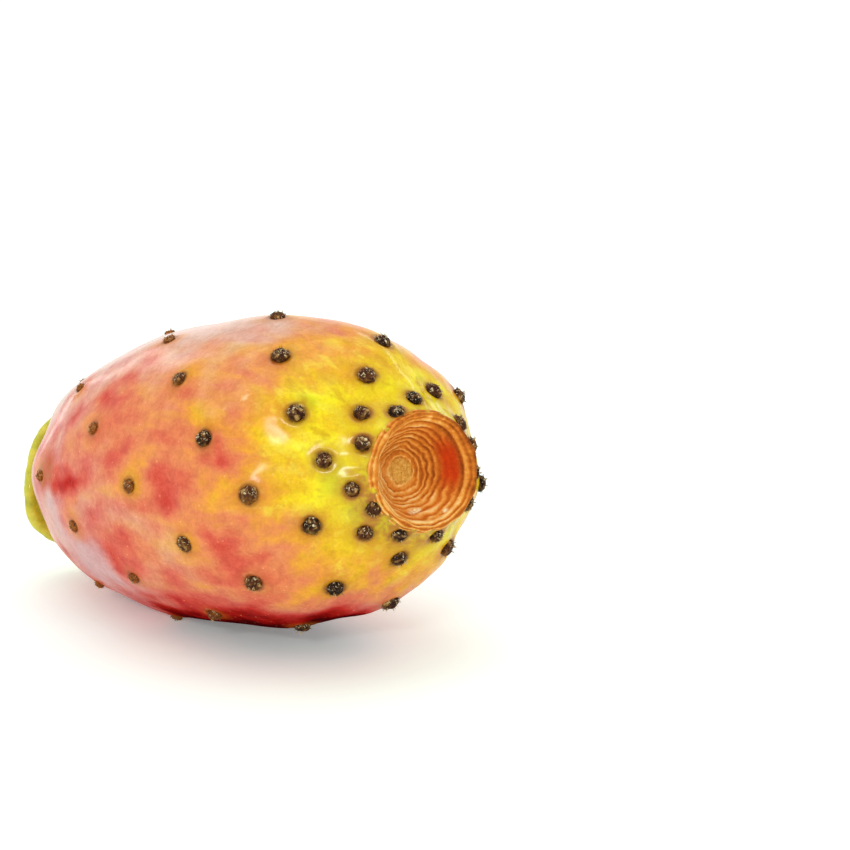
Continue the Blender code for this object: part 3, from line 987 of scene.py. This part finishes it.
# Radii of the dish's ring crests, with each one's height
RINGS = (
    (2.15, 0.10), (3.25, 0.30), (4.1, 0.36), (4.75, 0.22), (5.4, 0.26), (6.05, 0.24), (6.7, 0.22),
    (7.3, 0.24), (7.95, 0.40))
FIRST_SMOOTH_RING = 5
EDGE_RING = 8
RING_WANDER = 0.5
RING_JITTER = 0.2
RING_SHIFT = 0.25
RING_SHIFT_RADII = (3.0, 7.0)
EDGE_RING_WANDER = 0.15
RING_WHOLE = 0.8
RING_BROKEN = 0.7
CREST_INSIDE = 0.12
CREST_OUTSIDE = 0.24
GROOVE_IN = 0.27
GROOVE_WIDTH = 0.14
SMOOTHED = 0.8

# Sides of the dish: middle turn, half width and half width of the core
SMOOTH_WALL = (-88.0, 48.0, 12.0)
SMOOTH_WALL_RADII = ((5.3, 6.4), (7.8, 7.1))
RED_ALL_ROUND = 0.15
RED_ON_SMOOTH_WALL = 0.85
STEEP_WALL_RINGS = (3, 5, 7)
STEEP_WALL = (105.0, 70.0, 30.0)
NEAR_WALL = (105.0, 100.0)
LOW_WALL = (-155.0, 60.0)
LAYERED_LIP = (170.0, 80.0, 25.0)
FAR_WALL = (0.1, 0.9)
FAR_WALL_RADII = (2.6, 4.5)
DISC_RADII = (2.3, 1.7)

# Lightness of the dish's paper: pale crests with painted highlights, painted shadows in the grooves,
# painted light and shade on the lip's wrinkles, and painted shade on the far side
PLAIN_SHADE = 0.44
CREST_PALENESS_AND_HIGHLIGHT = 0.34
GROOVE_PAINTED_SHADOW = -0.2
WRINKLE_LIGHT_AND_SHADE = 0.3
FAR_SIDE_PAINTED_SHADE = -0.14
NEAR_SHADE = 0.16
LOW_SHADE = 0.16

# Pale peeled spots: radius and turn of each, half width across the rings and half length along them
PEELED = ((6.3, 176.0, 0.35, 1.0), (7.7, -152.0, 0.35, 0.9))
PEELED_EDGE = (1.2, 0.6)


def rings(turn, radius, heading, wander, jitter):
    """Height of the dish's rings, and how far a point is on a crest and in a groove, where highlight
    and shadow are painted.
    """
    swirl = radius + RING_WANDER * wander + RING_JITTER * jitter
    swirl += RING_SHIFT * math.cos(turn) * ease(radius, *RING_SHIFT_RADII)
    edge = radius + EDGE_RING_WANDER * wander
    smooth = 1.0 - SMOOTHED * side(turn, *SMOOTH_WALL)
    steep = 1.0 - SMOOTHED * side(turn, *STEEP_WALL)
    ridge = crest = groove = 0.0
    for number, (ring, height) in enumerate(RINGS):
        off = (edge if number == EDGE_RING else swirl) - ring
        breaks = noise.noise(heading * 2.2 + Vector((number * 2.0, 0.0, 0.0)))
        whole = RING_WHOLE + RING_BROKEN * breaks
        if number in STEEP_WALL_RINGS:
            whole *= steep
        if FIRST_SMOOTH_RING <= number < EDGE_RING:
            whole *= smooth
        mark = whole * math.exp(-(off / (CREST_INSIDE if off < 0.0 else CREST_OUTSIDE)) ** 2)
        ridge += height * mark
        crest = max(crest, mark)
        groove = max(groove, whole * math.exp(-((off + GROOVE_IN) / GROOVE_WIDTH) ** 2))
    return ridge, crest, groove


def peeling(turn, radius, jitter):
    """How much the paper is peeled at a point of the dish."""
    peeled = 0.0
    for ring, degrees, across, along in PEELED:
        off = (radius - ring) / across
        round_by = turn_between(turn, math.radians(degrees)) * ring / along
        peeled = max(peeled, ease(math.hypot(off, round_by) + 0.8 * jitter, *PEELED_EDGE))
    return peeled


def crown_point(drop, turn):
    """Point of the scar's dish and lip, and its paint: crest, the lightness with painted highlights
    and shadows, then wall, peeled and disc.
    """
    scallop = 0.5 + 0.5 * math.cos(LIP_WAVES * turn + LIP_WAVE_WANDER * math.sin(2.0 * turn))
    part_out = max(drop, 0.0) / CROWN_EDGE_DROP
    if drop > 0.0:
        drop *= 1.0 - LIP_SCALLOP * scallop
    radius = outline_at(drop)[0].y / MM
    heading = Vector((math.cos(turn), math.sin(turn), 0.0))
    wander = noise.noise(heading * 1.4 + Vector((0.0, 0.0, radius / 2.5)))
    jitter = noise.noise(heading * 5.0 + Vector((4.0, 2.0, radius / 0.9)))
    ridge, crest, groove = rings(turn, radius, heading, wander, jitter)

    lip = ease(radius, *LIP_START)
    layered = side(turn, *LAYERED_LIP)
    fans = noise.noise(heading * 12.0 + Vector((0.0, 0.0, drop / (2.5 * MM))))
    folds = math.cos(drop / MM * 8.5 + 3.0 * wander + jitter)
    wrinkle = (fans * (1.0 - layered) * 0.9 + folds * (0.5 + 0.5 * layered)) * lip
    proud = DISH_PROUD * (1.0 + wander) + ridge * MM + LIP_WRINKLE_HEIGHT * wrinkle
    proud += LIP_SCALLOP_HEIGHT * (scallop - 0.5) * lip
    proud -= LIP_TUCK * ease(part_out, LIP_TUCK_FROM, 1.0)

    # The far side of the dish is darkened as painted shade
    far = ease(-math.sin(turn), *FAR_WALL) * ease(radius, *FAR_WALL_RADII)
    shade = PLAIN_SHADE + CREST_PALENESS_AND_HIGHLIGHT * crest + GROOVE_PAINTED_SHADOW * groove + WRINKLE_LIGHT_AND_SHADE * wrinkle
    shade += NEAR_SHADE * side(turn, *NEAR_WALL) + LOW_SHADE * side(turn, *LOW_WALL) + FAR_SIDE_PAINTED_SHADE * far
    wall = ease(radius, *SMOOTH_WALL_RADII[0]) * ease(radius, *SMOOTH_WALL_RADII[1])
    wall *= RED_ALL_ROUND + RED_ON_SMOOTH_WALL * side(turn, *SMOOTH_WALL)
    disc = ease(radius, *DISC_RADII)
    return surface(drop, turn, proud), (shade, wall, peeling(turn, radius, jitter), disc)


def crown_piece():
    floor_rows, wall_rows, lip_rows = CROWN_ROWS
    drops = stations(CENTRE_DROP, FOOT_DROP, floor_rows)
    drops += stations(FOOT_DROP, DISH_DROP, wall_rows)
    drops += stations(DISH_DROP, CROWN_EDGE_DROP, lip_rows) + [CROWN_EDGE_DROP]
    profile = on_outline(drops) + buried(*CROWN_BURIED)
    return turned_piece(
        "crown_scar", profile, CROWN_COLUMNS, crown_point, ("crest", "wall", "peeled", "disc"))


# Slice of pad
SLICE_COLUMNS = 160
SLICE_ROWS = (34, 22)
SLICE_BURIED = ((2.0, 0.1), (2.0, 5.0))
SLICE_CUT_FADE = (-1.2, 0.4)
SLICE_SEAM_FADE = (3.6, 1.0)
SLICE_LUMP_HEIGHT = 0.22 * MM
SLICE_LUMP_FADE = (0.0, 2.0)
SLICE_LUMP = 2.6 * MM
SLICE_FINE_LUMP = 0.9 * MM


def slice_point(drop, turn):
    """Point of the slice of pad, and its paint: cut flesh and the seam by the fruit, brown with
    painted shade.
    """
    here = surface(drop, turn)
    from_neck = drop - NECK_DROP
    lumps = noise.noise(here / SLICE_LUMP) + 0.4 * noise.noise(here / SLICE_FINE_LUMP)
    proud = SLICE_LUMP_HEIGHT * lumps * fade(from_neck, SLICE_LUMP_FADE)
    flesh = fade(drop - SLICE_DROP, SLICE_CUT_FADE)
    return surface(drop, turn, proud), (flesh, fade(from_neck, SLICE_SEAM_FADE))


def slice_piece():
    rim_rows, back_rows = SLICE_ROWS
    drops = stations(NECK_DROP, SLICE_DROP, rim_rows)
    drops += stations(SLICE_DROP, BACK_DROP, back_rows) + [BACK_DROP]
    profile = buried(*SLICE_BURIED) + on_outline(drops)
    return turned_piece("pad_slice", profile, SLICE_COLUMNS, slice_point, ("flesh", "seam"))


# Cushions and spines. Shares are of a cushion's radius
CUSHION_SEED = 7
CUSHION_SIZES = (0.92, 1.1)
CUSHION_TONES = (0.25, 0.75)
CUSHION_RUST = (0.0, 0.25)
RUST_GROWTH = 0.9
RUST_FADE = (24.0, 62.0)
CUSHION_RISE = 0.72
CUSHION_SINK = 0.7 * MM
CUSHION_FINENESS = 3
CUSHION_SPREAD = 0.97
CUSHION_UNEVEN = 0.8
CUSHION_NARROW = 0.94
# Noise that lumps the felt: its fineness, and its share of the lumps
LUMPS = ((1.6, 0.18), (3.6, 0.16), (7.0, 0.10))
PIT_SIDE = 0.18
PIT_EDGE = (0.42, 0.1)
PIT_TONES = (0.3, 0.4)
PIT_DEPTH = 0.2

SPINE_SEED = 19
TUFTS = 3
TUFT_OUT = (0.1, 0.7)
TUFT_SPINES = 16
TUFT_SPREAD = 0.35
TUFT_LEAN = 0.5
TUFT_LENGTHS = (0.25, 0.5)
TUFT_THICKNESS = 0.055 * MM
TUFT_TONES = (0.4, 1.0)
EDGE_HAIRS = 40
EDGE_OUT = 0.9
EDGE_HEIGHTS = (0.05, 0.4)
EDGE_LEANS = (0.7, 1.4)
EDGE_LENGTHS = (0.2, 0.42)
EDGE_THICKNESS = 0.04 * MM
EDGE_TONES = (0.0, 0.5)


def cushion_layout():
    """Place, radius, tone and rust of each cushion, with a little seeded chance."""
    chance = random.Random(CUSHION_SEED)
    layout = []
    for drop, turn in CUSHIONS:
        radius = cushion_radius(drop) * chance.uniform(*CUSHION_SIZES)
        tone = chance.uniform(*CUSHION_TONES)
        rust = min(1.0, chance.uniform(*CUSHION_RUST) + RUST_GROWTH * fade(drop, RUST_FADE))
        place = cushion_place(drop, turn, chance.uniform(0.0, math.tau))
        layout.append((place, radius, tone, rust))
    return layout


def cushions_piece(layout):
    """Lumpy domes of felt, some with a dark pit. Paint: low, which places the painted glow below and
    the painted glints above, tone, rust and pit.
    """
    bm = bmesh.new()
    layers = [bm.verts.layers.float.new(name) for name in ("low", "tone", "rust", "pit")]
    for number, (place, radius, tone, rust) in enumerate(layout):
        made = bmesh.ops.create_icosphere(bm, subdivisions=CUSHION_FINENESS, radius=1.0)
        seed = Vector((number * 3.7, 1.3, 5.1))
        for vert in made["verts"]:
            a, b, c = vert.co
            lumps = [noise.noise(vert.co * fineness + seed) for fineness, _ in LUMPS]
            lump = sum(value * share for value, (_, share) in zip(lumps, LUMPS))
            top = c > 0.0
            pit = ease(math.hypot(a - PIT_SIDE, b), *PIT_EDGE) * top * ease(tone, *PIT_TONES)
            rise = CUSHION_RISE * radius if top else CUSHION_SINK
            height = rise * c * (1.0 + lump) - PIT_DEPTH * radius * pit
            spread = radius * (CUSHION_SPREAD + CUSHION_UNEVEN * lump)
            vert.co = place @ Vector((a * spread, b * spread * CUSHION_NARROW, height))
            low = 0.5 + 0.5 * (place.translation.z - vert.co.z) / radius
            vert.co.z = max(vert.co.z, 0.0)
            shade = 0.22 + 0.3 * tone + 0.7 * lumps[0] + 0.6 * lumps[1]
            for layer, value in zip(layers, (low, shade, rust, pit)):
                vert[layer] = value
    bmesh.ops.recalc_face_normals(bm, faces=bm.faces)
    return finished("cushions", bm)


def add_thorn(bm, tone_layer, matrix, thickness, length, tone):
    """One slim three-sided thorn that stands on the matrix's XY plane."""
    made = bmesh.ops.create_cone(
        bm, cap_ends=True, segments=3, radius1=thickness, radius2=0.0, depth=length,
        matrix=matrix @ Matrix.Translation((0.0, 0.0, 0.4 * length)))
    for vert in made["verts"]:
        vert[tone_layer] = tone
        vert.co.z = max(vert.co.z, 0.0)


def standing(bearing, out, height, lean):
    """Matrix for a thorn on a cushion: out from its middle at a bearing, leaning outwards."""
    out_there = Matrix.Rotation(bearing, 4, "Z") @ Matrix.Translation((out, 0.0, height))
    return out_there @ Matrix.Rotation(lean, 4, "Y")


def spines_piece(layout):
    """Fine short spines: pale tufts that lean together, and brown hairs round each cushion's edge."""
    chance = random.Random(SPINE_SEED)
    bm = bmesh.new()
    tone_layer = bm.verts.layers.float.new("tone")
    for place, radius, _, _ in layout:
        tufts = [
            (chance.uniform(0.0, math.tau), radius * chance.uniform(*TUFT_OUT))
            for _ in range(TUFTS)]
        for number in range(TUFT_SPINES):
            bearing, out = tufts[number % TUFTS]
            bearing += chance.uniform(-TUFT_SPREAD, TUFT_SPREAD)
            height = CUSHION_RISE * radius * math.sqrt(1.0 - (out / radius) ** 2)
            lean = out / radius + chance.uniform(-TUFT_LEAN, TUFT_LEAN)
            stand = place @ standing(bearing, out, height, lean)
            length = chance.uniform(*TUFT_LENGTHS) * radius
            tone = chance.uniform(*TUFT_TONES)
            add_thorn(bm, tone_layer, stand, TUFT_THICKNESS, length, tone)
        for _ in range(EDGE_HAIRS):
            bearing = chance.uniform(0.0, math.tau)
            height = chance.uniform(*EDGE_HEIGHTS) * radius
            lean = chance.uniform(*EDGE_LEANS)
            stand = place @ standing(bearing, radius * EDGE_OUT, height, lean)
            length = chance.uniform(*EDGE_LENGTHS) * radius
            tone = chance.uniform(*EDGE_TONES)
            add_thorn(bm, tone_layer, stand, EDGE_THICKNESS, length, tone)
    return finished("fine_spines", bm, smooth=False)


def dress(piece, material):
    """Give a piece its material, and put it in the place of the model's fruit."""
    piece.data.materials.append(material)
    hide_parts(FRUIT)
    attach(piece, "root")


felt = felt_finish()
cushions = cushion_layout()
dress(skin_piece(), skin_finish())
dress(crown_piece(), crown_finish())
dress(slice_piece(), slice_finish())
dress(cushions_piece(cushions), felt)
dress(spines_piece(cushions), spine_finish())

# Studio
FLOOR_RADIUS = 16.0
FLOOR_SIDES = 96
FLOOR_BELOW = 0.02 * MM
ROOM_HEIGHTS = (0.12, 0.4)
ROOM_STRENGTHS = (1.04, 0.82)


def camera_axes():
    """Right, up and back of the camera."""
    right = Vector((math.cos(CAMERA_BEARING), math.sin(CAMERA_BEARING), 0.0))
    flat = Vector((math.sin(CAMERA_BEARING), -math.cos(CAMERA_BEARING), 0.0))
    back = flat * math.cos(CAMERA_RISE) + Vector((0.0, 0.0, math.sin(CAMERA_RISE)))
    return right, back.cross(right), back


def add_camera():
    right, up, back = camera_axes()
    pixel = CAMERA_DISTANCE / FOCAL_PIXELS
    place = MIDDLE + back * CAMERA_DISTANCE
    place -= right * (MIDDLE_PIXEL[0] - PICTURE / 2.0) * pixel
    place += up * (MIDDLE_PIXEL[1] - PICTURE / 2.0) * pixel
    lens = bpy.data.cameras.new("camera")
    lens.sensor_width = SENSOR
    lens.lens = FOCAL_PIXELS / PICTURE * SENSOR
    lens.clip_start = CAMERA_CLIP
    camera = bpy.data.objects.new("camera", lens)
    camera.matrix_world = Matrix.Translation(place) @ Matrix((right, up, back)).transposed().to_4x4()
    bpy.context.scene.collection.objects.link(camera)
    bpy.context.scene.camera = camera


def add_floor():
    bm = bmesh.new()
    bmesh.ops.create_circle(bm, cap_ends=True, segments=FLOOR_SIDES, radius=FLOOR_RADIUS)
    bmesh.ops.translate(bm, verts=bm.verts, vec=(0.0, 0.0, -FLOOR_BELOW))
    floor = finished("floor", bm, smooth=False)
    floor.data.materials.append(floor_finish())


def light_room():
    """A pale room, brightest round the horizon."""
    scene = bpy.context.scene
    scene.world = bpy.data.worlds.new("studio")
    scene.world.use_nodes = True
    room = Wiring(scene.world.node_tree)
    place = room.node("TexCoord", output="Generated")
    height = room.node("SeparateXYZ", inputs={"Vector": place}, output="Z")
    strength = room.node("MapRange", {"interpolation_type": "SMOOTHSTEP"}, {
        "Value": height, "From Min": ROOM_HEIGHTS[0], "From Max": ROOM_HEIGHTS[1],
        "To Min": ROOM_STRENGTHS[0], "To Max": ROOM_STRENGTHS[1]})
    background = room.tree.nodes["Background"]
    room.feed(background.inputs["Strength"], strength)
    room.feed(background.inputs["Color"], WHITE)
    scene.view_settings.view_transform = "Standard"


def add_light(name, kind, bearing, rise, distance=0.0):
    """A light that faces the fruit from a bearing and a rise in degrees. Returns its settings."""
    bearing, rise = math.radians(bearing), math.radians(rise)
    away = Vector((
        math.sin(bearing) * math.cos(rise), -math.cos(bearing) * math.cos(rise), math.sin(rise)))
    light = bpy.data.lights.new(name, kind)
    lamp = bpy.data.objects.new(name, light)
    lamp.location = Vector((0.0, 0.0, LIE_HEIGHT)) + away * distance
    lamp.rotation_euler = away.to_track_quat("Z", "Y").to_euler()
    bpy.context.scene.collection.objects.link(lamp)
    return light


def add_softbox(name, bearing, rise, distance, width, height, power):
    """An oblong soft light."""
    light = add_light(name, "AREA", bearing, rise, distance)
    light.shape = "RECTANGLE"
    light.size = width
    light.size_y = height
    light.energy = power


def add_sun(name, bearing, rise, angle, strength):
    """A soft sun whose light falls evenly over the whole floor."""
    light = add_light(name, "SUN", bearing, rise)
    light.angle = math.radians(angle)
    light.energy = strength


add_camera()
add_floor()
light_room()
add_sun("high_sun", bearing=-90.0, rise=76.0, angle=50.0, strength=0.58)
# Each softbox: its bearing and rise, distance, width and height in metres, and power in watts
for softbox in (
        ("front", 31.0, 26.0, 0.6, 0.13, 0.05, 0.6),
        ("left_strip", -102.0, 14.0, 0.5, 0.04, 0.4, 0.11),
        ("behind", -138.0, 12.0, 0.7, 0.6, 0.3, 0.26),
        ("back_strip", -170.0, 38.0, 0.6, 0.4, 0.05, 0.22)):
    add_softbox(*softbox)
